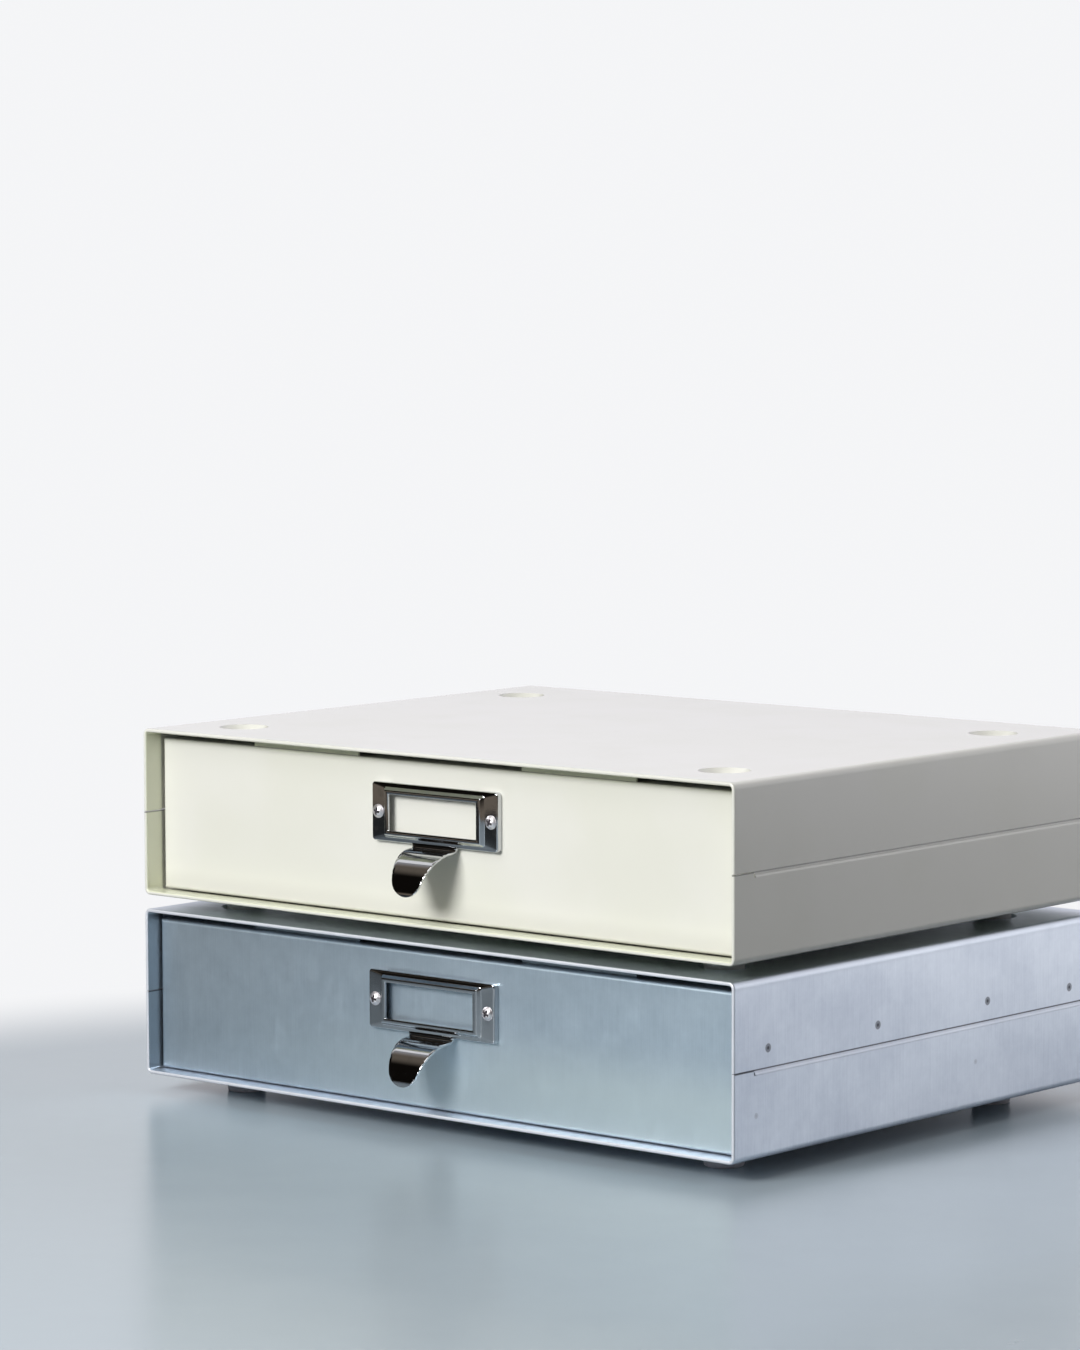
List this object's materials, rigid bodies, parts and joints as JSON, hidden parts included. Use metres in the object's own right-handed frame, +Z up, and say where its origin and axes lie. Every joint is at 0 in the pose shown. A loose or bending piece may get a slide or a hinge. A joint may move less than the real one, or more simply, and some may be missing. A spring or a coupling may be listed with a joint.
{
  "type": "stack of desk drawers",
  "caption": "Low folded-steel desk drawers stacked on rubber feet that seat in dimples, each with a framed label holder and a curved finger pull; holds A4 papers and envelopes.",
  "frame": {"origin": "middle of the stack's footprint, finger pulls included, on the surface that the lower feet stand on", "axes": "+X to the right as seen from the front, +Y from the drawer fronts to the back, +Z up"},
  "size_m": [0.32, 0.2628, 0.156],
  "materials": {
    "cream_enamel": "smooth satin pale ivory-green powder coat",
    "zinc_steel": "bare zinc-coated steel sheet with a faint vertical grain",
    "label_chrome": "bright nickel-chrome plate",
    "screw_steel": "bright plated screws and nuts",
    "rivet_steel": "plain rivet",
    "grey_rubber": "smooth moulded pale grey rubber, slightly translucent",
    "glide_plastic": "natural white slippery plastic strip"
  },
  "bodies": {
    "lower_case": {"lower_case_top_shell": "zinc_steel", "lower_case_bottom_shell": "zinc_steel", "lower_case_back": "zinc_steel", "lower_foot_front_left": "grey_rubber", "lower_foot_front_right": "grey_rubber", "lower_foot_rear_left": "grey_rubber", "lower_foot_rear_right": "grey_rubber", "lower_foot_rivets": "rivet_steel", "lower_glide_strip_left": "glide_plastic", "lower_glide_strip_right": "glide_plastic"},
    "lower_drawer": {"lower_drawer_front": "zinc_steel", "lower_drawer_tray": "zinc_steel", "lower_drawer_back": "zinc_steel", "lower_label_holder": "label_chrome", "lower_label_screws": "screw_steel", "lower_label_nuts": "screw_steel"},
    "upper_case": {"upper_case_top_shell": "cream_enamel", "upper_case_bottom_shell": "cream_enamel", "upper_case_back": "cream_enamel", "upper_foot_front_left": "grey_rubber", "upper_foot_front_right": "grey_rubber", "upper_foot_rear_left": "grey_rubber", "upper_foot_rear_right": "grey_rubber", "upper_foot_rivets": "rivet_steel", "upper_glide_strip_left": "glide_plastic", "upper_glide_strip_right": "glide_plastic"},
    "upper_drawer": {"upper_drawer_front": "cream_enamel", "upper_drawer_tray": "cream_enamel", "upper_drawer_back": "cream_enamel", "upper_label_holder": "label_chrome", "upper_label_screws": "screw_steel", "upper_label_nuts": "screw_steel"}
  },
  "joints": [
    {"name": "lower_drawer_slide", "type": "slide", "parent": "lower_case", "child": "lower_drawer", "axis": [0, -1, 0], "range_m": [-0.0025, 0.2035]},
    {"name": "upper_unit_lift", "type": "slide", "parent": "lower_case", "child": "upper_case", "axis": [0, 0, 1], "range_m": [0, 0.12]},
    {"name": "upper_drawer_slide", "type": "slide", "parent": "upper_case", "child": "upper_drawer", "axis": [0, -1, 0], "range_m": [0, 0.206]}
  ]
}
